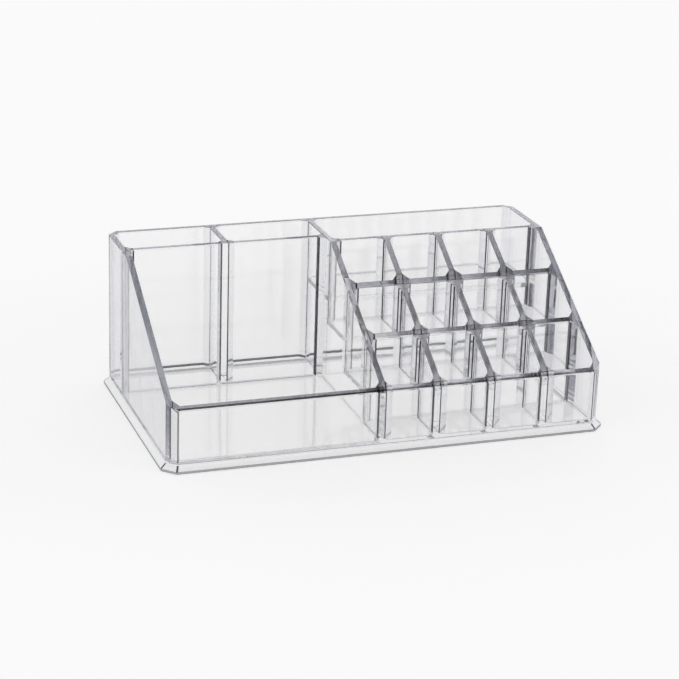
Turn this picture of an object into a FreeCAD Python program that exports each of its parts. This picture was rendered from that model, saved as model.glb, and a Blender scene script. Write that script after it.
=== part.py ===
"""Clear vanity organizer: a flared foot with a floor, four outer walls, three rear wells,
a low front tray and a stepped rack of lipstick cells. Millimetres, +Z up, origin under the middle."""

import FreeCAD, Part
import os
from types import SimpleNamespace

import Sketcher

# Driving dimensions. Heights are measured from the surface that the organizer stands on.
SIZES = {
    "foot_length": 225.0,
    "foot_depth": 130.0,
    "foot_overhang": 2.6,
    "foot_edge": 1.4,
    "skirt_rise": 2.3,
    "base_side": 1.1,
    "total_height": 80.0,
    "front_height": 30.4,
    "level_rim_depth": 42.2,
    "outer_wall": 3.1,
    "inner_wall": 3.0,
    "floor_thickness": 2.2,
    "corner_flare": 2.8,
    "well_depth": 26.3,
    "cell_pitch": 28.0,
    "step_rise": 16.2,
    "well_floor_rise": 12.2,
}

# The lipstick rack, counted from left to right and from front to back
CELL_COLUMNS = 4
CELL_ROWS = ("front_row", "middle_row", "rear_row")
RISERS = ("front_riser", "rear_riser", "rack_rear_wall")

# A 45 degree corner keeps its wall thickness when its outer leg is longer than its inner leg by this share
CORNER_GAIN = 2 - 2**0.5


class Length:
    """A length with its number and the spreadsheet expression that it comes from."""

    def __init__(self, number, text):
        self.number = number
        self.text = text

    @staticmethod
    def of(value):
        return value if isinstance(value, Length) else Length(float(value), repr(float(value)))

    def __add__(self, other):
        other = Length.of(other)
        return Length(self.number + other.number, f"({self.text} + {other.text})")

    def __sub__(self, other):
        other = Length.of(other)
        return Length(self.number - other.number, f"({self.text} - {other.text})")

    def __mul__(self, other):
        other = Length.of(other)
        return Length(self.number * other.number, f"({self.text} * {other.text})")

    def __truediv__(self, other):
        other = Length.of(other)
        return Length(self.number / other.number, f"({self.text} / {other.text})")

    def __neg__(self):
        return Length(-self.number, f"(-1 * {self.text})")


doc = FreeCAD.newDocument("vanity_organizer")
sheet = doc.addObject("Spreadsheet::Sheet", "Sizes")
for line, (alias, number) in enumerate(SIZES.items(), start=1):
    sheet.set(f"A{line}", alias)
    sheet.set(f"B{line}", str(number))
    sheet.setAlias(f"B{line}", alias)
doc.recompute()

size = SimpleNamespace(**{alias: Length(number, f"Sizes.{alias}") for alias, number in SIZES.items()})
half_length = size.foot_length / 2
half_depth = size.foot_depth / 2
half_inner = size.inner_wall / 2
flare = size.corner_flare

# Faces of the outer walls, which stand alike on both sides of the middle
outer_x = half_length - size.foot_overhang
outer_y = half_depth - size.foot_overhang
inner_x = outer_x - size.outer_wall
inner_y = outer_y - size.outer_wall
outer_corner = flare + size.outer_wall * CORNER_GAIN
foot_corner = outer_corner + size.foot_overhang * CORNER_GAIN

# The foot rises from an upright edge over the flared skirt to the upright side under the walls
skirt_top = size.foot_edge + size.skirt_rise
foot_height = skirt_top + size.base_side

# The rim is level at the back and then falls in one straight slope to the front
slope_start = outer_y - size.level_rim_depth
rim_fall = (size.total_height - size.front_height) / (slope_start + outer_y)

# Middle planes of the inner walls, with the rack set out from the right wall and the front wall
rack_side = outer_x - size.outer_wall / 2 - size.cell_pitch * CELL_COLUMNS
rack_left = rack_side + half_inner
divider_lines = [rack_side + size.cell_pitch * count for count in range(1, CELL_COLUMNS)]
rack_front = -outer_y + size.outer_wall / 2
riser_lines = [rack_front + size.cell_pitch * count for count in range(1, len(CELL_ROWS) + 1)]
well_front = inner_y - size.well_depth - half_inner
well_middle = (rack_side - half_inner - inner_x) / 2

# Upper faces of the rack's floors from front to back, and of the well behind it
row_levels = [foot_height + size.step_rise * count for count in range(len(CELL_ROWS))]
well_level = row_levels[-1] + size.well_floor_rise


def bind(item, prop, length):
    """Ties a property of an object to the spreadsheet."""
    item.setExpression(prop, length.text)


def outline(body, plane_role, name, corners, lift=None):
    """A closed sketch on one of the body's own planes, with each corner tied to the spreadsheet."""
    sketch = body.newObject("Sketcher::SketchObject", name)
    plane = next(item for item in body.Origin.OriginFeatures if item.Role == plane_role)
    sketch.AttachmentSupport = [(plane, "")]
    sketch.MapMode = "FlatFace"
    if lift is not None:
        bind(sketch, "AttachmentOffset.Base.z", lift)
    points = [FreeCAD.Vector(across.number, up.number, 0) for across, up in corners]
    for here, there in zip(points, points[1:] + points[:1]):
        sketch.addGeometry(Part.LineSegment(here, there), False)
    for edge in range(len(points)):
        sketch.addConstraint(Sketcher.Constraint("Coincident", edge, 2, (edge + 1) % len(points), 1))
    for edge, (across, up) in enumerate(corners):
        for kind, length in (("DistanceX", across), ("DistanceY", up)):
            number = sketch.addConstraint(Sketcher.Constraint(kind, -1, 1, edge, 1, length.number))
            bind(sketch, f"Constraints[{number}]", length)
    return sketch


def pad(body, name, sketch, height):
    """Raises a sketch to a solid."""
    feature = body.newObject("PartDesign::Pad", name)
    feature.Profile = sketch
    bind(feature, "Length", height)


def pocket_up(body, name, sketch, depth):
    """Cuts a sketch upwards into the body, and makes sure that it took material away."""
    doc.recompute()
    before = body.Shape.Volume
    feature = body.newObject("PartDesign::Pocket", name)
    feature.Profile = sketch
    feature.Reversed = True
    bind(feature, "Length", depth)
    doc.recompute()
    if not feature.Shape.Volume < before:
        raise RuntimeError(f"{name} cuts nothing")


def cut_corners(left, right, front, back, leg):
    """A rectangle in plan with its four corners cut off at 45 degrees, from the front left corner on."""
    return [
        (left, front + leg),
        (left + leg, front),
        (right - leg, front),
        (right, front + leg),
        (right, back - leg),
        (right - leg, back),
        (left + leg, back),
        (left, back - leg),
    ]


def new_body(name):
    """An empty body."""
    body = doc.addObject("PartDesign::Body", name)
    body.Label = name
    return body


# The space under the rim, which every wall is trimmed to
envelope = new_body("under_rim")
rim_profile = outline(
    envelope,
    "YZ_Plane",
    "rim_profile",
    [
        (-half_depth, Length.of(0)),
        (half_depth, Length.of(0)),
        (half_depth, size.total_height),
        (slope_start, size.total_height),
        (-half_depth, size.front_height - size.foot_overhang * rim_fall),
    ],
    lift=-half_length,
)
pad(envelope, "rim_block", rim_profile, size.foot_length)

subparts = []


def wall(label, corners, foot):
    """An upright wall of the given plan, standing at the height of foot and trimmed to the rim."""
    blank = new_body(f"{label}_blank")
    plan = outline(blank, "XY_Plane", f"{label}_plan", corners, lift=foot)
    pad(blank, f"{label}_pad", plan, size.total_height - foot)
    trimmed = doc.addObject("Part::Common", label)
    trimmed.Label = label
    trimmed.Base = blank
    trimmed.Tool = envelope
    trimmed.Refine = True
    subparts.append(trimmed)


def partition(label, low, high, middle, foot, front_to_back):
    """A wall inside the organizer whose two ends flare into the walls that they meet."""
    wide = half_inner + flare
    corners = [
        (low, middle - wide),
        (low + flare, middle - half_inner),
        (high - flare, middle - half_inner),
        (high, middle - wide),
        (high, middle + wide),
        (high - flare, middle + half_inner),
        (low + flare, middle + half_inner),
        (low, middle + wide),
    ]
    if front_to_back:
        corners = [(across, along) for along, across in corners]
    wall(label, corners, foot)


def floor(label, corners, level):
    """A flat floor whose upper face lies at the given level."""
    body = new_body(label)
    plan = outline(body, "XY_Plane", f"{label}_plan", corners, lift=level - size.floor_thickness)
    pad(body, f"{label}_pad", plan, size.floor_thickness)
    subparts.append(body)


# The foot flares outwards to its edge, carries the lower floor and is open under the raised steps
base = new_body("base_tray")
sole_corners = cut_corners(-half_length, half_length, -half_depth, half_depth, foot_corner)
brim_corners = cut_corners(-outer_x, outer_x, -outer_y, outer_y, outer_corner)
pad(base, "edge", outline(base, "XY_Plane", "sole", sole_corners), size.foot_edge)
skirt = base.newObject("PartDesign::AdditiveLoft", "skirt")
skirt.Profile = outline(base, "XY_Plane", "edge_top", sole_corners, lift=size.foot_edge)
skirt.Sections = [outline(base, "XY_Plane", "brim", brim_corners, lift=skirt_top)]
skirt.Ruled = True
pad(base, "side", outline(base, "XY_Plane", "under_walls", brim_corners, lift=skirt_top), size.base_side)
hollow = outline(base, "XY_Plane", "hollow", cut_corners(-inner_x, inner_x, -inner_y, inner_y, flare))
pocket_up(base, "underside", hollow, foot_height - size.floor_thickness)
step_corners = cut_corners(rack_left, inner_x, riser_lines[0] + half_inner, inner_y, flare)
pocket_up(base, "step_opening", outline(base, "XY_Plane", "under_steps", step_corners), foot_height)
subparts.append(base)

# The side walls turn the corners and meet the back and front walls face to face
seam_x = inner_x - flare
front_half = [
    (outer_x, -outer_y + outer_corner),
    (outer_x - outer_corner, -outer_y),
    (seam_x, -outer_y),
    (seam_x, -inner_y),
    (inner_x, -inner_y + flare),
]
side_wall = front_half + [(across, -along) for across, along in reversed(front_half)]
wall("right_side_wall", side_wall, foot_height)
wall("left_side_wall", [(-across, along) for across, along in side_wall], foot_height)
for label, outer_face, inner_face in (("back_wall", outer_y, inner_y), ("front_wall", -outer_y, -inner_y)):
    ends = [(-seam_x, outer_face), (seam_x, outer_face), (seam_x, inner_face), (-seam_x, inner_face)]
    wall(label, ends, foot_height)

# The rear wells and the tray at the left
partition("rack_side_wall", -inner_y, inner_y, rack_side, foot_height, True)
partition("well_front_wall", -inner_x, rack_side - half_inner, well_front, foot_height, False)
partition("well_divider", well_front + half_inner, inner_y, well_middle, foot_height, True)

# Each riser of the rack stands on the floor in front of it
for label, line, level in zip(RISERS, riser_lines, row_levels):
    partition(label, rack_left, inner_x, line, level, False)

# A raised row's floor runs from the riser in front of it to the far face of the riser that stands on it
for row, level, near_line, far_line in zip(CELL_ROWS[1:], row_levels[1:], riser_lines, riser_lines[1:]):
    near = near_line + half_inner
    far = far_line + half_inner
    front_edge = cut_corners(rack_left, inner_x, near, far, flare)[:4]
    floor(f"{row}_floor", front_edge + [(inner_x, far), (rack_left, far)], level)
well_corners = cut_corners(rack_left, inner_x, riser_lines[-1] + half_inner, inner_y, flare)
floor("rear_well_floor", well_corners, well_level)

# Dividers part each row into cells, from the wall in front of the row to the riser behind it
near_faces = [-inner_y] + [line + half_inner for line in riser_lines]
for row, near, riser, level in zip(CELL_ROWS, near_faces, riser_lines, row_levels):
    for column, line in enumerate(divider_lines, start=1):
        partition(f"{row}_divider_{column}", near, riser - half_inner, line, level, True)

doc.recompute()
for item in doc.Objects:
    if "Invalid" in item.State or "Error" in item.State:
        raise RuntimeError(f"{item.Label} failed: {item.State}")
for item in subparts:
    if item.Shape.isNull() or not item.Shape.isValid() or len(item.Shape.Solids) != 1:
        raise RuntimeError(f"{item.Label} is not one valid solid")

os.makedirs("parts", exist_ok=True)
for item in subparts:
    item.Shape.exportStep(f"parts/{item.Label}.step")
    box = item.Shape.BoundBox
    print(f"{item.Label}: {item.Shape.Volume:.0f} mm3, z {box.ZMin:.2f} to {box.ZMax:.2f}")
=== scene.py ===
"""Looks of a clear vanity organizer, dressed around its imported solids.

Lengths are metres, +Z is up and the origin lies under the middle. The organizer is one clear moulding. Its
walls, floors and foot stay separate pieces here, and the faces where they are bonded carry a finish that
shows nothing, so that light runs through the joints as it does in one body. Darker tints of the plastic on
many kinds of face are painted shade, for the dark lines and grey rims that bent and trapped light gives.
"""

import logging
import math
from dataclasses import dataclass
from enum import Enum, IntEnum
from typing import Optional, Sequence, Union

import bmesh
import bpy
from mathutils import Matrix, Vector
from mathutils.geometry import tessellate_polygon


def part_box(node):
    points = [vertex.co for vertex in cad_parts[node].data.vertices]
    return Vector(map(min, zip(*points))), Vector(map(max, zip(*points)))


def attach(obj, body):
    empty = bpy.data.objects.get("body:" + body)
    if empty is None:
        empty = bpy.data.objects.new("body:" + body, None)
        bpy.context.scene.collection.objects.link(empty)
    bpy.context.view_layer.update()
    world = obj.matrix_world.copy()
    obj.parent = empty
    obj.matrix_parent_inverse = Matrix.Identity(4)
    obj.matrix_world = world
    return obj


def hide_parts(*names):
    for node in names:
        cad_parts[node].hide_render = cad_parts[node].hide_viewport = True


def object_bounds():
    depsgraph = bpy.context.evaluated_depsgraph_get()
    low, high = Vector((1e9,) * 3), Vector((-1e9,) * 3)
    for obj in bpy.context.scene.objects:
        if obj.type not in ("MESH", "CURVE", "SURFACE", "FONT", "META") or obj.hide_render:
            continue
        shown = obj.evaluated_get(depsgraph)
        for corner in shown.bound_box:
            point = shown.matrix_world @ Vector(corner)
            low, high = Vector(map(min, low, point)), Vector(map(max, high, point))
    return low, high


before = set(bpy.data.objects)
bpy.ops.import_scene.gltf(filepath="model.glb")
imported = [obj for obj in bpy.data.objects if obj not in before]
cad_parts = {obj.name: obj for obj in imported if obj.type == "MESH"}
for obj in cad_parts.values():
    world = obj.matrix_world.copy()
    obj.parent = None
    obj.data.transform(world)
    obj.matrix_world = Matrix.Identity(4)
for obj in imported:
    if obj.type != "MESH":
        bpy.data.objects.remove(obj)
cad_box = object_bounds()

log = logging.getLogger("organizer")

BODY = "root"

# Tests on faces: a distance, an angle, and shares of a unit normal
TOUCHING = 2e-6
ONE_PLANE = math.radians(0.1)
OPPOSED = -0.999
LEVEL = 0.98
FLAT = 0.9
TURNED = 0.5
UPRIGHT = 0.3

# Rounded edges, and the heights of the painted shade at a wall's roots, above its bottom, and along the
# foot's bottom edge
EDGE_ROUND = 0.0005
ROUND_STEPS = 3
ROUND_PROFILE = 0.5
ROOT_HEIGHT = 0.0007
BACK_ROOT = (0.0006, 0.002)
FOOT_EDGE = 0.0014

# How far the outer walls, the back corners and the front rim's painted shade reach in from the CAD box, and
# two places
OUTER_REACH = 0.0055
BACK_REACH = 0.012
FRONT_LINE = 0.004
FRONT_REACH = 0.0065
TRAY_END = sum(corner.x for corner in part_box("rack_side_wall")) / 2
REAR_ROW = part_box("rear_riser")[1].y

Colour = tuple[float, float, float]
Value = Union["Wire", float, int, bool, tuple, bpy.types.ID]

WHITE = (1.0, 1.0, 1.0, 1.0)
BLACK = (0.0, 0.0, 0.0, 1.0)


class Wire:
    """An output socket in a node tree, with the arithmetic that finishes and shapes are written in."""

    def __init__(self, board: "Board", socket: bpy.types.NodeSocket) -> None:
        """Keeps the socket and the board that it is on."""
        self.board = board
        self.socket = socket

    def out(self, name: str) -> "Wire":
        """Another output of the same node."""
        return Wire(self.board, self.socket.node.outputs[name])

    def _math(self, operation: str, first: Value, second: Value) -> "Wire":
        """A Math node on two values."""
        return self.board.add("ShaderNodeMath", {"operation": operation}, {0: first, 1: second})

    def __add__(self, other: Value) -> "Wire":
        """The sum."""
        return self._math("ADD", self, other)

    def __radd__(self, other: Value) -> "Wire":
        """The sum, with the number first."""
        return self._math("ADD", other, self)

    def __sub__(self, other: Value) -> "Wire":
        """The difference."""
        return self._math("SUBTRACT", self, other)

    def __rsub__(self, other: Value) -> "Wire":
        """The difference, with the number first."""
        return self._math("SUBTRACT", other, self)

    def __mul__(self, other: Value) -> "Wire":
        """The product."""
        return self._math("MULTIPLY", self, other)

    def __rmul__(self, other: Value) -> "Wire":
        """The product, with the number first."""
        return self._math("MULTIPLY", other, self)

    def __truediv__(self, other: Value) -> "Wire":
        """The quotient."""
        return self._math("DIVIDE", self, other)

    def modulo(self, other: Value) -> "Wire":
        """What is left over by a division."""
        return self._math("MODULO", self, other)

    def at_least(self, other: Value) -> "Wire":
        """The larger of two values."""
        return self._math("MAXIMUM", self, other)

    def at_most(self, other: Value) -> "Wire":
        """The smaller of two values."""
        return self._math("MINIMUM", self, other)

    def exp(self) -> "Wire":
        """The exponential."""
        return self.board.add("ShaderNodeMath", {"operation": "EXPONENT"}, {0: self})

    def over(self, other: Value) -> "Wire":
        """1 where this value is larger, and 0 elsewhere."""
        return self._math("GREATER_THAN", self, other)


class Board:
    """A node tree that nodes are added to by type, settings and socket values."""

    def __init__(self, tree: bpy.types.NodeTree) -> None:
        """Takes over the tree and empties it."""
        self.tree = tree
        tree.nodes.clear()

    def add(
        self,
        kind: str,
        settings: Optional[dict] = None,
        inputs: Optional[dict] = None,
        output: Union[int, str] = 0,
    ) -> Wire:
        """Adds one node.

        Args:
            kind: Blender's name of the node's type.
            settings: The node's own properties, set first. "choices" counts an index switch's inputs.
            inputs: Values or wires by socket name or number.
            output: The output that the returned wire stands for.

        Returns:
            A wire from that output.
        """
        node = self.tree.nodes.new(kind)
        for name, value in (settings or {}).items():
            if name == "choices":
                while len(node.index_switch_items) < value:
                    node.index_switch_items.new()
            else:
                setattr(node, name, value)
        for name, value in (inputs or {}).items():
            wires = value if isinstance(value, list) else [value]
            for wire in wires:
                if isinstance(wire, Wire):
                    self.tree.links.new(wire.socket, node.inputs[name])
                else:
                    node.inputs[name].default_value = wire
        return Wire(self, node.outputs[output] if len(node.outputs) else None)

    def mix(self, share: Value, first: Value, second: Value) -> Wire:
        """A colour between two colours.

        Args:
            share: 0 for the first colour, 1 for the second.
            first: A colour of four numbers, or a wire.
            second: A colour of four numbers, or a wire.

        Returns:
            A wire that carries the mixed colour.
        """
        kind = {"data_type": "RGBA", "clamp_factor": True}
        return self.add("ShaderNodeMix", kind, {0: share, 6: first, 7: second}, 2)


class Face(IntEnum):
    """The kinds of face. The number is the slot of the kind's finish on every piece."""

    # SIDE, BACK, CORNER, FLARE, ROOT, BACK_ROOT, RIM, CROSS_RIM, DEEP_RIM, LINE and LIP get darker tints of
    # the clear plastic: painted shade
    WALL = 0
    SIDE = 1
    BACK = 2
    FRONT = 3
    CORNER = 4
    FLARE = 5
    ROOT = 6
    BACK_ROOT = 7
    RIM = 8
    CROSS_RIM = 9
    DEEP_RIM = 10
    HAZY_RIM = 11
    LINE = 12
    FLOOR = 13
    LIP = 14
    SKIRT = 15
    SOLE = 16
    BOND = 17


class Form(Enum):
    """What a piece of the moulding does, which says where its rim is."""

    WALL = "wall"
    FLOOR = "floor"
    FOOT = "foot"


@dataclass(frozen=True)
class RimKinds:
    """The kinds of a wall's rim, by the way it runs. A fall may have its own kind beside the rear row."""

    # All kinds but HAZY_RIM are darker tints: painted shade
    level: Face = Face.RIM
    across: Face = Face.CROSS_RIM
    down: Face = Face.RIM
    down_rear: Optional[Face] = None


@dataclass(frozen=True)
class ClearPlastic:
    """Clear moulded plastic, polished, with the faint flow ripples and haze of a moulding. Its tint is the
    plastic's faint colour; where darker, it is painted shade.
    """

    name: str
    tint: Colour
    deep_tint: Colour
    gloss: float
    haze: float
    absorption: float = 1.5
    refraction: float = 1.59
    ripple_scale: float = 55.0
    ripple_detail: float = 2.0
    ripple_height: float = 0.00006
    cloud_scale: float = 13.75

    def material(self) -> bpy.types.Material:
        """Builds the finish on the piece's own Object coordinates."""
        finish = bpy.data.materials.new(self.name)
        finish.use_nodes = True
        board = Board(finish.node_tree)
        place = board.add("ShaderNodeTexCoord", output="Object")
        flow = board.add(
            "ShaderNodeTexNoise",
            None,
            {"Vector": place, "Scale": self.ripple_scale, "Detail": self.ripple_detail},
        )
        cloud = board.add("ShaderNodeTexNoise", None, {"Vector": place, "Scale": self.cloud_scale})
        colour = board.mix(cloud, (*self.tint, 1.0), (*self.deep_tint, 1.0))
        roughness = self.gloss + flow * (self.haze - self.gloss)
        ripple = board.add("ShaderNodeBump", None, {"Height": flow, "Distance": self.ripple_height})
        clear = board.add(
            "ShaderNodeBsdfGlass",
            None,
            {"Color": colour, "Roughness": roughness, "Normal": ripple, "IOR": self.refraction},
        )
        taken = board.add("ShaderNodeBsdfDiffuse", None, {"Color": BLACK})
        way = board.add("ShaderNodeLightPath", output="Ray Length")
        inside = board.add("ShaderNodeNewGeometry", output="Backfacing")
        share = inside * (1.0 - (way * -self.absorption).exp())
        shader = board.add("ShaderNodeMixShader", None, {0: share, 1: clear, 2: taken})
        board.add("ShaderNodeOutputMaterial", None, {"Surface": shader})
        return finish


@dataclass(frozen=True)
class BondedFace:
    """A face inside the moulding, where one piece runs into the next and nothing shows."""

    name: str = "bonded_joint"

    def material(self) -> bpy.types.Material:
        """Builds a finish that lets all light straight through."""
        finish = bpy.data.materials.new(self.name)
        finish.use_nodes = True
        board = Board(finish.node_tree)
        clear = board.add("ShaderNodeBsdfTransparent", None, {"Color": WHITE})
        board.add("ShaderNodeOutputMaterial", None, {"Surface": clear})
        return finish


WALL_FINISH = ClearPlastic("clear_wall", (0.999, 0.999, 1.0), (0.995, 0.995, 0.997), 0.02, 0.06)
# Painted shade: the outer sides and outer backs are tinted darker than the clear walls
SIDE_PAINTED_SHADE = ClearPlastic("clear_side_painted_shade", (0.91, 0.91, 0.925), (0.86, 0.86, 0.875), 0.02, 0.06)
BACK_PAINTED_SHADE = ClearPlastic("clear_back_painted_shade", (0.96, 0.96, 0.96), (0.93, 0.93, 0.932), 0.02, 0.06)
# Painted shade: flares and outer corners are tinted darker, for the dark lines that refraction gives there
FLARE_PAINTED_SHADE = ClearPlastic("clear_flare_painted_shade", (0.945, 0.945, 0.955), (0.88, 0.88, 0.895), 0.02, 0.08)
# Painted shade: a darker strip at the roots of inner walls, where they meet a floor
ROOT_PAINTED_SHADE = ClearPlastic("clear_root", (0.84, 0.84, 0.855), (0.75, 0.75, 0.775), 0.05, 0.15)
# Painted shade: a near-black band low on the inner faces of the back walls, where they meet the floors
BACK_ROOT_PAINTED_SHADE = ClearPlastic("clear_back_root_painted_shade", (0.15, 0.15, 0.16), (0.09, 0.09, 0.1), 0.05, 0.15)
# Painted shade: rims tinted grey-violet, darker on cross rims and darkest on deep rims, for light running
# down inside the walls
RIM_PAINTED_SHADE = ClearPlastic("clear_rim_painted_shade", (0.97, 0.97, 1.0), (0.9, 0.9, 0.94), 0.08, 0.2)
CROSS_RIM_PAINTED_SHADE = ClearPlastic("clear_cross_rim_painted_shade", (0.8, 0.8, 0.82), (0.68, 0.68, 0.71), 0.05, 0.15)
DEEP_RIM_PAINTED_SHADE = ClearPlastic("clear_deep_rim_painted_shade", (0.64, 0.64, 0.68), (0.5, 0.5, 0.55), 0.08, 0.2)
HAZY_RIM_FINISH = ClearPlastic("clear_hazy_rim", (1.0, 1.0, 1.0), (0.96, 0.96, 0.99), 0.25, 0.45)
# Painted shade: a near-black line along the front rim and on the rounded edges of flares, front corners and
# the foot
LINE_PAINTED_SHADE = ClearPlastic("clear_line_painted_shade", (0.14, 0.14, 0.15), (0.07, 0.07, 0.08), 0.05, 0.15)
FLOOR_FINISH = ClearPlastic("clear_floor", (0.998, 0.998, 0.998), (0.993, 0.993, 0.993), 0.02, 0.06)
# Painted shade: a dark grey band behind the front line, on the front rim beyond the tray and along the foot's
# bottom
LIP_PAINTED_SHADE = ClearPlastic("clear_lip_painted_shade", (0.5, 0.5, 0.52), (0.38, 0.38, 0.41), 0.05, 0.15)
SKIRT_FINISH = ClearPlastic("clear_skirt", (0.998, 0.998, 0.998), (0.99, 0.99, 0.992), 0.05, 0.15)
SOLE_FINISH = ClearPlastic(
    "resting_sole", (0.99, 0.99, 0.99), (0.965, 0.965, 0.968), 0.1, 0.3, refraction=1.02
)

FINISHES: dict[Face, Union[ClearPlastic, BondedFace]] = {
    Face.WALL: WALL_FINISH,
    Face.SIDE: SIDE_PAINTED_SHADE,
    Face.BACK: BACK_PAINTED_SHADE,
    Face.FRONT: WALL_FINISH,
    Face.CORNER: FLARE_PAINTED_SHADE,
    Face.FLARE: FLARE_PAINTED_SHADE,
    Face.ROOT: ROOT_PAINTED_SHADE,
    Face.BACK_ROOT: BACK_ROOT_PAINTED_SHADE,
    Face.RIM: RIM_PAINTED_SHADE,
    Face.CROSS_RIM: CROSS_RIM_PAINTED_SHADE,
    Face.DEEP_RIM: DEEP_RIM_PAINTED_SHADE,
    Face.HAZY_RIM: HAZY_RIM_FINISH,
    Face.LINE: LINE_PAINTED_SHADE,
    Face.FLOOR: FLOOR_FINISH,
    Face.LIP: LIP_PAINTED_SHADE,
    Face.SKIRT: SKIRT_FINISH,
    Face.SOLE: SOLE_FINISH,
    Face.BOND: BondedFace(),
}


@dataclass(frozen=True)
class Rim:
    """The rim's line from the side: level at the back, then one straight fall to the front."""

    top: float
    fall: float
    low_y: float
    low_z: float

    @classmethod
    def from_frame(cls) -> "Rim":
        """Reads the line from the tops of two cross walls, which lie on the slope."""
        front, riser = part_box("front_wall")[1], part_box("front_riser")[1]
        fall = (riser.z - front.z) / (riser.y - front.y)
        return cls(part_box("back_wall")[1].z, fall, front.y, front.z)


@dataclass(frozen=True)
class Outline:
    """The outline of a flat face."""

    normal: Vector
    corners: tuple[Vector, ...]

    @classmethod
    def of(cls, face: bmesh.types.BMFace) -> "Outline":
        """Reads a face's outline."""
        return cls(face.normal.copy(), tuple(corner.co.copy() for corner in face.verts))

    def raised(self, height: float) -> "Outline":
        """The same upright outline with its upper side lifted."""
        top = max(corner.z for corner in self.corners)
        lift = Vector((0, 0, height))
        lifted = (corner + lift if corner.z > top - TOUCHING else corner for corner in self.corners)
        return Outline(self.normal, tuple(lifted))

    def sides(self) -> list[tuple[Vector, Vector]]:
        """The outline's sides, each from corner to corner."""
        return list(zip(self.corners, self.corners[1:] + self.corners[:1]))

    def meets(self, face: bmesh.types.BMFace) -> bool:
        """True if a face lies in this plane and looks the other way.

        Args:
            face: A face of another piece.

        Returns:
            Whether the two can be bonded.
        """
        if face.normal.dot(self.normal) > OPPOSED:
            return False
        return abs((face.verts[0].co - self.corners[0]).dot(self.normal)) < TOUCHING

    def holds(self, point: Vector) -> bool:
        """True if a point of this plane lies inside the outline.

        Args:
            point: A point in the outline's plane.

        Returns:
            Whether the point is inside.
        """
        across = self.normal.orthogonal().normalized()
        along = self.normal.cross(across)
        u, v = point.dot(across), point.dot(along)
        inside = False
        for here, there in self.sides():
            here_v, there_v = here.dot(along), there.dot(along)
            if (here_v > v) != (there_v > v):
                share = (v - here_v) / (there_v - here_v)
                inside ^= u < here.dot(across) + share * (there.dot(across) - here.dot(across))
        return inside


def middle_of(face: bmesh.types.BMFace) -> Vector:
    """A point well inside a face, whatever its outline.

    Args:
        face: A flat face.

    Returns:
        The middle of the largest triangle that the face divides into.
    """
    corners = [corner.co for corner in face.verts]
    triangles = [[corners[number] for number in triple] for triple in tessellate_polygon([corners])]
    largest = max(triangles, key=lambda three: (three[1] - three[0]).cross(three[2] - three[0]).length)
    return sum(largest, Vector()) / 3


def crosses(face: bmesh.types.BMFace, here: Vector, there: Vector) -> bool:
    """True if a line in the face's plane divides the face.

    Args:
        face: A flat face.
        here: The line's start.
        there: The line's end.

    Returns:
        Whether some corners lie on each side, next to the line's own length.
    """
    direction = (there - here).normalized()
    beside = direction.cross(face.normal)
    sides = [(corner.co - here).dot(beside) for corner in face.verts]
    reach = [(corner.co - here).dot(direction) for corner in face.verts]
    divided = min(sides) < -TOUCHING and max(sides) > TOUCHING
    return divided and min(reach) < (there - here).length - TOUCHING and max(reach) > TOUCHING


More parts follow.
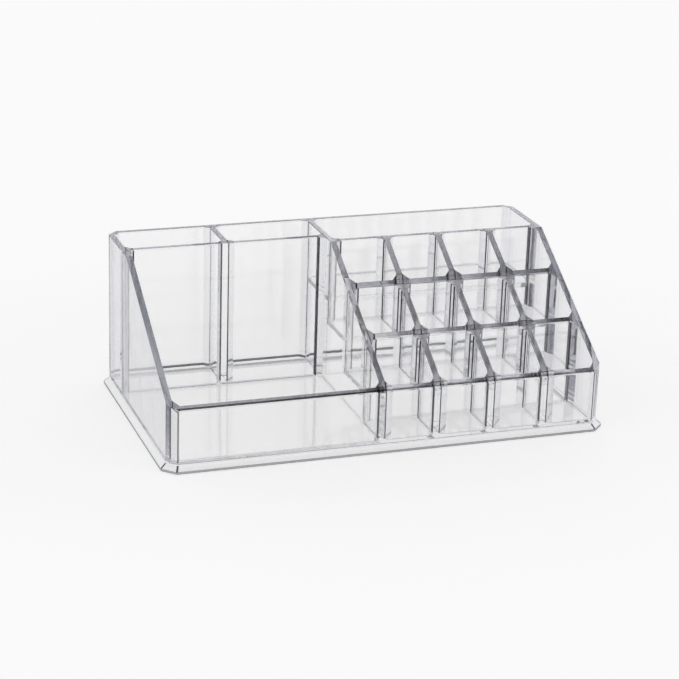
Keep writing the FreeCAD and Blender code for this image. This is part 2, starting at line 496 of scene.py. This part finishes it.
class Piece:
    """One clear piece in the making: its mesh, what it does and the CAD nodes that it stands for."""

    def __init__(
        self,
        name: str,
        form: Form,
        nodes: Sequence[str],
        mesh: bpy.types.Mesh,
        rims: RimKinds = RimKinds(),
    ) -> None:
        """Takes a mesh and turns it into flat, closed faces.

        Args:
            name: The piece's name.
            form: What the piece does.
            nodes: The CAD nodes that it stands for.
            mesh: Its shape in the row frame.
            rims: The finishes of its rims.
        """
        self.name = name
        self.form = form
        self.nodes = nodes
        self.rims = rims
        self.shape = bmesh.new()
        self.shape.from_mesh(mesh)
        bmesh.ops.remove_doubles(self.shape, verts=self.shape.verts, dist=TOUCHING)
        for face in self.shape.faces:
            face.smooth = False
            face.material_index = Face.WALL
        self.flatten()
        self.outlines = [Outline.of(face) for face in self.shape.faces]
        self.bottom = min(corner.co.z for corner in self.shape.verts)

    def flatten(self) -> None:
        """Joins neighbouring faces that lie in one plane and have one finish."""
        bmesh.ops.dissolve_limit(
            self.shape,
            angle_limit=ONE_PLANE,
            verts=self.shape.verts,
            edges=self.shape.edges,
            delimit={"MATERIAL"},
        )
        self.shape.normal_update()

    def bond_to(self, other: "Piece") -> None:
        """Marks where the other piece is bonded to this one, by cutting its outlines into the touching faces.

        Args:
            other: The neighbour.
        """
        for outline in other.outlines:
            if not self._touching(outline):
                continue
            self._mark(outline, Face.BOND)
            # A thin strip of a wall just above a floor's edge gets painted shade
            if other.form is Form.FLOOR and self.form is Form.WALL and abs(outline.normal.z) < UPRIGHT:
                self._mark(outline.raised(ROOT_HEIGHT), Face.ROOT)

    def _mark(self, outline: Outline, kind: Face) -> None:
        """Cuts an outline into the touching faces and gives what lies inside a kind, unless it is bonded."""
        self._cut_along(outline)
        for face in self._touching(outline):
            if face.material_index != Face.BOND and outline.holds(middle_of(face)):
                face.material_index = kind

    def _touching(self, outline: Outline) -> list[bmesh.types.BMFace]:
        """The faces that lie in the outline's plane and look the other way."""
        return [face for face in self.shape.faces if outline.meets(face)]

    def _cut_along(self, outline: Outline) -> None:
        """Splits the touching faces along each side of an outline."""
        for here, there in outline.sides():
            crossed = [face for face in self._touching(outline) if crosses(face, here, there)]
            if not crossed:
                continue
            edges = {edge for face in crossed for edge in face.edges}
            corners = {corner for face in crossed for corner in face.verts}
            bmesh.ops.bisect_plane(
                self.shape,
                geom=[*crossed, *edges, *corners],
                dist=TOUCHING,
                plane_co=here,
                plane_no=(there - here).cross(outline.normal).normalized(),
            )

    def finish_faces(self) -> None:
        """Gives each free face the finish of its place, and rounds the edges that show as lines; most
        roundings get painted shade.
        """
        if self.form is Form.WALL:
            self._divide_wall()
        for face in self.shape.faces:
            if face.material_index == Face.WALL:
                face.material_index = self._place_of(face)
        self.flatten()
        walls = {Face.WALL, Face.SIDE, Face.BACK, Face.FRONT}
        uprights = walls | {Face.FLARE, Face.CORNER}
        self._round({Face.LINE, Face.LIP}, {Face.FRONT, Face.CORNER}, Face.FRONT)
        self._round({Face.RIM, Face.CROSS_RIM, Face.HAZY_RIM}, uprights, Face.RIM)
        self._round({Face.LIP}, {Face.WALL, Face.FLARE}, Face.RIM)
        self._round({Face.DEEP_RIM}, uprights, Face.DEEP_RIM)
        self._round({Face.FLARE}, walls, Face.LINE)
        self._round({Face.CORNER}, {Face.FRONT}, Face.LINE)
        self._round({Face.CORNER}, walls, Face.RIM)
        self._round({Face.SKIRT}, {Face.FLOOR}, Face.RIM)
        self._round({Face.SKIRT}, {Face.SKIRT}, Face.LINE)

    def _divide_wall(self) -> None:
        """Cuts a wall where its painted shade changes: above its roots, along the front rim, beside the rear
        row.
        """
        for height in (ROOT_HEIGHT, *BACK_ROOT):
            self._cut_at("Z", self.bottom + height)
        front_line = cad_box[0][1] + FRONT_LINE
        if min(corner.co.y for corner in self.shape.verts) < front_line:
            self._cut_at("Y", front_line)
            self._cut_at("X", TRAY_END)
        if self.rims.down_rear is not None:
            self._cut_at("Y", REAR_ROW)
        self.shape.normal_update()

    def _cut_at(self, axis: str, place: float) -> None:
        """Cuts every face along a level of one axis."""
        normal = Vector([float(name == axis) for name in "XYZ"])
        bmesh.ops.bisect_plane(
            self.shape,
            geom=[*self.shape.faces, *self.shape.edges, *self.shape.verts],
            dist=TOUCHING,
            plane_co=normal * place,
            plane_no=normal,
        )

    def _round(self, first: set[Face], second: set[Face], kind: Face) -> None:
        """Rounds the free edges between two kinds of face.

        Args:
            first: The kinds on one side.
            second: The kinds on the other side.
            kind: The finish of the rounding.
        """
        edges = []
        for edge in self.shape.edges:
            kinds = [Face(face.material_index) for face in edge.link_faces]
            ways = (kinds, kinds[::-1]) if len(kinds) == 2 else ()
            if any(one in first and other in second for one, other in ways):
                edges.append(edge)
        if edges:
            bmesh.ops.bevel(
                self.shape,
                geom=edges,
                offset=EDGE_ROUND,
                offset_type="OFFSET",
                segments=ROUND_STEPS,
                profile=ROUND_PROFILE,
                affect="EDGES",
                clamp_overlap=True,
                material=kind,
            )

    def _place_of(self, face: bmesh.types.BMFace) -> Face:
        """Says which finish a free face gets.

        Args:
            face: A face that no neighbour is bonded to.

        Returns:
            The kind of face.
        """
        middle = face.calc_center_median()
        upright = abs(face.normal.z) < UPRIGHT
        if self.form is Form.FOOT:
            if face.normal.z < -FLAT and middle.z < TOUCHING:
                return Face.SOLE
            # The foot's low outer band gets a dark tint: painted shade
            if upright and middle.z < FOOT_EDGE and self._looks_out(face, middle):
                return Face.LIP
            return Face.SKIRT if UPRIGHT < face.normal.z < FLAT else Face.FLOOR
        if self.form is Form.FLOOR:
            return Face.FLOOR
        if not upright:
            return self._rim_of(face, middle)
        outside = self._looks_out(face, middle)
        at_back = middle.y > cad_box[1][1] - BACK_REACH
        height = middle.z - self.bottom
        # Painted shade: a near-black band low on the inner faces of the back walls
        if at_back and not outside and face.normal.y < -TURNED and BACK_ROOT[0] < height < BACK_ROOT[1]:
            return Face.BACK_ROOT
        # Painted shade: a darker strip at the bottom of the other inner walls
        if not at_back and not outside and height < ROOT_HEIGHT:
            return Face.ROOT
        # Flares and outer corners get a darker tint: painted shade
        if abs(face.normal.x) > TURNED and abs(face.normal.y) > TURNED:
            return Face.CORNER if outside or at_back else Face.FLARE
        if not outside:
            return Face.WALL
        # Outer sides and backs get darker tints: painted shade
        if abs(face.normal.x) > TURNED:
            return Face.SIDE
        return Face.FRONT if face.normal.y < 0 else Face.BACK

    def _rim_of(self, face: bmesh.types.BMFace, middle: Vector) -> Face:
        """Says which finish a face of the rim gets.

        Args:
            face: A free face on top of a wall.
            middle: The face's middle.

        Returns:
            The kind of face. The front wall has a painted dark line of shade along its front, and its painted
            shade is deeper over the tray.
        """
        if middle.y < cad_box[0][1] + FRONT_LINE:
            return Face.LINE if middle.x < TRAY_END else Face.LIP
        if middle.y < cad_box[0][1] + FRONT_REACH:
            return Face.LIP if middle.x < TRAY_END else Face.RIM
        if face.normal.z > LEVEL:
            return self.rims.level
        spans = [[corner.co[axis] for corner in face.verts] for axis in (0, 1)]
        width, depth = (max(span) - min(span) for span in spans)
        if width > depth:
            return self.rims.across
        if self.rims.down_rear is not None and middle.y > REAR_ROW:
            return self.rims.down_rear
        return self.rims.down

    @staticmethod
    def _looks_out(face: bmesh.types.BMFace, middle: Vector) -> bool:
        """True for a face on the outside of the organizer."""
        low, high = cad_box
        room = [min(middle[axis] - low[axis], high[axis] - middle[axis]) for axis in (0, 1)]
        return min(room) < OUTER_REACH and face.normal.xy.dot(middle.xy) > 0

    def dress(self, finishes: Sequence[bpy.types.Material]) -> bpy.types.Object:
        """Turns the shape into the finished piece.

        Args:
            finishes: One material for each kind of face, in order.

        Returns:
            The piece's object, riding on the organizer's body.
        """
        self.finish_faces()
        mesh = bpy.data.meshes.new(self.name)
        self.shape.to_mesh(mesh)
        self.shape.free()
        for finish in finishes:
            mesh.materials.append(finish)
        piece = bpy.data.objects.new(self.name, mesh)
        bpy.context.scene.collection.objects.link(piece)
        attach(piece, BODY)
        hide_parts(*self.nodes)
        return piece


def from_node(node: str, form: Form, rims: RimKinds = RimKinds()) -> Piece:
    """A piece with the shape of one CAD node.

    Args:
        node: The node's name.
        form: What the piece does.
        rims: The finishes of its rims.

    Returns:
        The piece, not yet bonded.
    """
    return Piece(f"clear_{node}", form, [node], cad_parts[node].data, rims)


@dataclass
class Foot:
    """The flared foot with the lower floor."""

    node: str = "base_tray"

    def pieces(self) -> list[Piece]:
        """The foot as one piece."""
        return [from_node(self.node, Form.FOOT)]


@dataclass
class OuterWalls:
    """The four walls that stand on the foot."""

    # The left side wall's rims get the darker painted shade of the cross and deep rims
    deep: str = "left_side_wall"
    others: tuple[str, ...] = ("right_side_wall", "back_wall", "front_wall")
    deep_rims: RimKinds = RimKinds(level=Face.CROSS_RIM, down=Face.DEEP_RIM)

    def pieces(self) -> list[Piece]:
        """One piece for each wall."""
        deep = from_node(self.deep, Form.WALL, self.deep_rims)
        return [deep] + [from_node(node, Form.WALL) for node in self.others]


@dataclass
class RearWells:
    """The inner walls of the left wells, and the raised floor of the right one."""

    walls: tuple[str, ...] = ("well_front_wall", "well_divider")
    floor: str = "rear_well_floor"
    rims: RimKinds = RimKinds(level=Face.CROSS_RIM)

    def pieces(self) -> list[Piece]:
        """One piece for each wall, and the floor."""
        walls = [from_node(node, Form.WALL, self.rims) for node in self.walls]
        return walls + [from_node(self.floor, Form.FLOOR)]


@dataclass(frozen=True)
class DividerRow:
    """One row of dividers with flared ends, set out along X at one pitch."""

    nodes: tuple[str, ...]
    wall: float
    flare: float

    @staticmethod
    def tree() -> bpy.types.NodeTree:
        """Builds the Geometry Nodes tree that every row uses.

        Returns:
            The tree, with the row's sizes as its inputs.
        """
        tree = bpy.data.node_groups.new("divider_row", "GeometryNodeTree")
        board = Board(tree)
        places = ("First X", "Pitch", "Near Y", "Far Y", "Floor Z")
        sizes = ("Half Wall", "Flare", "Rim Top", "Rim Fall", "Low Y", "Low Z")
        tree.interface.new_socket("Count", in_out="INPUT", socket_type="NodeSocketInt")
        for name in (*places, *sizes):
            tree.interface.new_socket(name, in_out="INPUT", socket_type="NodeSocketFloat")
        tree.interface.new_socket("Finish", in_out="INPUT", socket_type="NodeSocketMaterial")
        tree.interface.new_socket("Geometry", in_out="OUTPUT", socket_type="NodeSocketGeometry")
        given = board.add("NodeGroupInput", output="Count")
        near, far, floor = (given.out(name) for name in ("Near Y", "Far Y", "Floor Z"))
        flare, half_wall = given.out("Flare"), given.out("Half Wall")
        top, fall, low_y, low_z = (given.out(name) for name in ("Rim Top", "Rim Fall", "Low Y", "Low Z"))

        # The plan is a strip of stations from the near to the far end: flare, wall, bend of the rim, flare
        bend = (low_y + (top - low_z) / fall).at_least(far - flare).at_most(far)
        stations = (near, near + flare, far - flare, bend, far)
        count = len(stations)
        plan = board.add("GeometryNodeMeshGrid", None, {"Vertices X": 2, "Vertices Y": count}, "Mesh")
        number = board.add("GeometryNodeInputIndex")
        choices = {str(place): wire for place, wire in enumerate(stations)}
        station = board.add(
            "GeometryNodeIndexSwitch",
            {"data_type": "FLOAT", "choices": count},
            {"Index": number.modulo(float(count)), **choices},
        )
        near_flare, far_flare = near + flare - station, station - far + flare
        spread = near_flare.at_least(far_flare).at_least(0.0) + half_wall
        right_side = number.over(count - 0.5)
        across = spread * (2.0 * right_side - 1.0)
        corner = board.add("ShaderNodeCombineXYZ", None, {"X": across, "Y": station, "Z": floor})
        plan = board.add("GeometryNodeSetPosition", None, {"Geometry": plan, "Position": corner})

        # The plan is raised and its top is laid on the rim's line
        lift = board.add("ShaderNodeCombineXYZ", None, {"Z": top})
        raised = board.add(
            "GeometryNodeExtrudeMesh",
            {"mode": "FACES"},
            {"Mesh": plan, "Offset": lift, "Individual": False},
            "Mesh",
        )
        place_x = board.add("ShaderNodeSeparateXYZ", None, {0: board.add("GeometryNodeInputPosition")}, "X")
        place_y, place_z = place_x.out("Y"), place_x.out("Z")
        height = place_z.at_most((low_z + (place_y - low_y) * fall).at_most(top))
        trimmed = board.add("ShaderNodeCombineXYZ", None, {"X": place_x, "Y": place_y, "Z": height})
        raised = board.add("GeometryNodeSetPosition", None, {"Geometry": raised, "Position": trimmed})
        under = board.add("GeometryNodeFlipFaces", None, {"Mesh": plan})
        closed = board.add("GeometryNodeJoinGeometry", None, {"Geometry": [under, raised]})
        closed = board.add("GeometryNodeMergeByDistance", None, {"Geometry": closed, "Distance": TOUCHING})

        # One divider stands at each step of the row
        start = board.add("ShaderNodeCombineXYZ", None, {"X": given.out("First X")})
        step = board.add("ShaderNodeCombineXYZ", None, {"X": given.out("Pitch")})
        line = board.add(
            "GeometryNodeMeshLine",
            None,
            {"Count": given, "Start Location": start, "Offset": step},
        )
        row = board.add("GeometryNodeInstanceOnPoints", None, {"Points": line, "Instance": closed})
        row = board.add("GeometryNodeRealizeInstances", None, {"Geometry": row})
        row = board.add("GeometryNodeSetMaterial", None, {"Geometry": row, "Material": given.out("Finish")})
        board.add("NodeGroupOutput", None, {"Geometry": row})
        return tree

    def mesh(self, tree: bpy.types.NodeTree, rim: Rim, finish: bpy.types.Material) -> bpy.types.Mesh:
        """Runs the tree for this row.

        Args:
            tree: The tree from tree().
            rim: The rim's line.
            finish: The material that the tree gives its faces.

        Returns:
            A plain mesh of all dividers of the row.
        """
        first, last = (sum(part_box(self.nodes[end]), Vector()) / 2 for end in (0, -1))
        low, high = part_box(self.nodes[0])
        values = {
            "Count": len(self.nodes),
            "First X": first.x,
            "Pitch": (last.x - first.x) / (len(self.nodes) - 1),
            "Near Y": low.y,
            "Far Y": high.y,
            "Floor Z": low.z,
            "Half Wall": self.wall / 2,
            "Flare": self.flare,
            "Rim Top": rim.top,
            "Rim Fall": rim.fall,
            "Low Y": rim.low_y,
            "Low Z": rim.low_z,
            "Finish": finish,
        }
        holder = bpy.data.objects.new("divider_row_maker", bpy.data.meshes.new("divider_row_maker"))
        bpy.context.scene.collection.objects.link(holder)
        maker = holder.modifiers.new("divider_row", "NODES")
        maker.node_group = tree
        sockets = {item.name: item.identifier for item in tree.interface.items_tree if item.in_out == "INPUT"}
        for name, value in values.items():
            maker[sockets[name]] = value
        made = bpy.data.meshes.new_from_object(holder.evaluated_get(bpy.context.evaluated_depsgraph_get()))
        bpy.data.objects.remove(holder)
        return made


@dataclass
class LipstickRack:
    """The stepped rack: a side wall, three risers, two raised floors and the dividers of each row."""

    # The rim kinds set how dark the painted shade on each rim is; the front and middle rows' falls are hazy
    # instead
    walls: tuple[tuple[str, RimKinds], ...] = (
        ("rack_side_wall", RimKinds(down_rear=Face.DEEP_RIM)),
        ("front_riser", RimKinds()),
        ("rear_riser", RimKinds(across=Face.DEEP_RIM)),
        ("rack_rear_wall", RimKinds()),
    )
    floors: tuple[str, ...] = ("middle_row_floor", "rear_row_floor")
    rows: tuple[tuple[str, RimKinds], ...] = (
        ("front_row", RimKinds(down=Face.HAZY_RIM)),
        ("middle_row", RimKinds(down=Face.HAZY_RIM)),
        ("rear_row", RimKinds(down=Face.DEEP_RIM)),
    )
    dividers: int = 3
    divider_wall: float = 0.003
    divider_flare: float = 0.0028

    def pieces(self) -> list[Piece]:
        """Every wall and floor of the rack."""
        made = [from_node(node, Form.WALL, rims) for node, rims in self.walls]
        made += [from_node(node, Form.FLOOR) for node in self.floors]
        tree = DividerRow.tree()
        rim = Rim.from_frame()
        finish = bpy.data.materials.new("divider_row_blank")
        for row, rims in self.rows:
            nodes = tuple(f"{row}_divider_{number}" for number in range(1, self.dividers + 1))
            mesh = DividerRow(nodes, self.divider_wall, self.divider_flare).mesh(tree, rim, finish)
            made.append(Piece(f"clear_{row}_dividers", Form.WALL, nodes, mesh, rims))
        return made


def bond(pieces: Sequence[Piece]) -> None:
    """Bonds every piece to the pieces that it touches.

    Args:
        pieces: All pieces of the moulding.
    """
    for piece in pieces:
        for other in pieces:
            if other is not piece:
                piece.bond_to(other)


@dataclass
class Studio:
    """The pale floor, the soft light and the camera at the photograph's place.

    The light's heights are sines of the angle above the horizon. The camera's turns are degrees, its offset
    is the origin as the camera sees it, and its focal length is in pixels of the frame.
    """

    floor_reach: float = 12.0
    floor_drop: float = 0.0002
    floor_roughness: float = 0.9
    floor_colour: Colour = (0.86, 0.86, 0.86)
    floor_glow: float = 0.67
    sky: float = 1.0
    band: float = 0.2
    horizon: float = 6.0
    horizon_to: float = 0.45
    band_at: float = 0.6
    sky_from: float = 0.75
    dark_hue: Colour = (0.94, 0.94, 1.12)
    strength: float = 0.15
    yaw: float = 19.3636
    tilt: float = 19.8451
    roll: float = 1.8731
    offset: tuple[float, float, float] = (0.004495, 1.102035, -0.032626)
    focal_px: float = 2181.72
    frame_px: int = 679
    sensor: float = 36.0
    bounces: int = 96

    def build(self) -> None:
        """Sets the whole studio up."""
        self._floor()
        self._light()
        self._camera()
        self._paths()

    def _floor(self) -> None:
        """Lays a wide, plain floor under the foot."""
        reach = self.floor_reach
        corners = [(-reach, -reach, 0), (reach, -reach, 0), (reach, reach, 0), (-reach, reach, 0)]
        mesh = bpy.data.meshes.new("studio_floor")
        mesh.from_pydata(corners, [], [(0, 1, 2, 3)])
        floor = bpy.data.objects.new("studio_floor", mesh)
        floor.location.z = -self.floor_drop
        bpy.context.scene.collection.objects.link(floor)
        finish = bpy.data.materials.new("pale_floor")
        finish.use_nodes = True
        board = Board(finish.node_tree)
        shader = board.add(
            "ShaderNodeBsdfPrincipled",
            None,
            {
                "Base Color": (*self.floor_colour, 1.0),
                "Roughness": self.floor_roughness,
                "Specular IOR Level": 0.0,
                "Emission Color": WHITE,
                "Emission Strength": self.floor_glow,
            },
        )
        finish.cycles.emission_sampling = "NONE"
        board.add("ShaderNodeOutputMaterial", None, {"Surface": shader})
        mesh.materials.append(finish)

    def _light(self) -> None:
        """A bright horizon and a soft sky with a darker band between them."""
        world = bpy.data.worlds.new("studio_world")
        world.use_nodes = True
        bpy.context.scene.world = world
        board = Board(world.node_tree)
        place = board.add("ShaderNodeTexCoord", output="Generated")
        height = board.add("ShaderNodeSeparateXYZ", None, {0: place}, "Z")
        middle = self._fade(board, height, (self.horizon_to, self.band_at))
        high = self._fade(board, height, (self.band_at, self.sky_from))
        level = (self.horizon * (1.0 - middle) + self.band * middle) * (1.0 - high) + self.sky * high
        colour = board.mix(level, (*self.dark_hue, 1.0), WHITE)
        light = board.add("ShaderNodeBackground", None, {"Color": colour, "Strength": level * self.strength})
        board.add("ShaderNodeOutputWorld", None, {"Surface": light})

    @staticmethod
    def _fade(board: Board, value: Wire, span: tuple[float, float]) -> Wire:
        """A soft rise from 0 to 1 while a value crosses a span."""
        return board.add(
            "ShaderNodeMapRange",
            {"interpolation_type": "SMOOTHSTEP"},
            {0: value, 1: span[0], 2: span[1], 3: 0.0, 4: 1.0},
        )

    def _camera(self) -> None:
        """Places the camera where the photograph was taken from."""
        turn = (
            Matrix.Rotation(math.radians(self.roll), 3, "Y")
            @ Matrix.Rotation(math.radians(self.tilt), 3, "X")
            @ Matrix.Rotation(math.radians(self.yaw), 3, "Z")
        )
        data = bpy.data.cameras.new("camera")
        data.sensor_width = self.sensor
        data.lens = self.focal_px / self.frame_px * self.sensor
        camera = bpy.data.objects.new("camera", data)
        facing = Matrix((turn[0], turn[2], -turn[1])).transposed()
        camera.matrix_world = Matrix.Translation(-(turn.transposed() @ Vector(self.offset))) @ facing.to_4x4()
        bpy.context.scene.collection.objects.link(camera)
        bpy.context.scene.camera = camera

    def _paths(self) -> None:
        """Lets light pass as many clear faces as it meets, and keeps the colours plain."""
        scene = bpy.context.scene
        scene.cycles.max_bounces = self.bounces
        scene.cycles.transmission_bounces = self.bounces
        scene.cycles.glossy_bounces = self.bounces
        scene.cycles.transparent_max_bounces = self.bounces
        scene.view_settings.view_transform = "Standard"


def main() -> None:
    """Builds the organizer and its studio, and reports each piece."""
    logging.basicConfig(level=logging.INFO, format="%(name)s: %(message)s")
    made = {finish: finish.material() for finish in dict.fromkeys(FINISHES.values())}
    finishes = [made[FINISHES[face]] for face in Face]
    assemblies = (Foot(), OuterWalls(), RearWells(), LipstickRack())
    pieces = [piece for assembly in assemblies for piece in assembly.pieces()]
    bond(pieces)
    for piece in pieces:
        dressed = piece.dress(finishes)
        bonded = sum(face.material_index == Face.BOND for face in dressed.data.polygons)
        log.info("%s: %d faces, %d of them bonded", dressed.name, len(dressed.data.polygons), bonded)
    Studio().build()


if __name__ == "__main__":
    main()
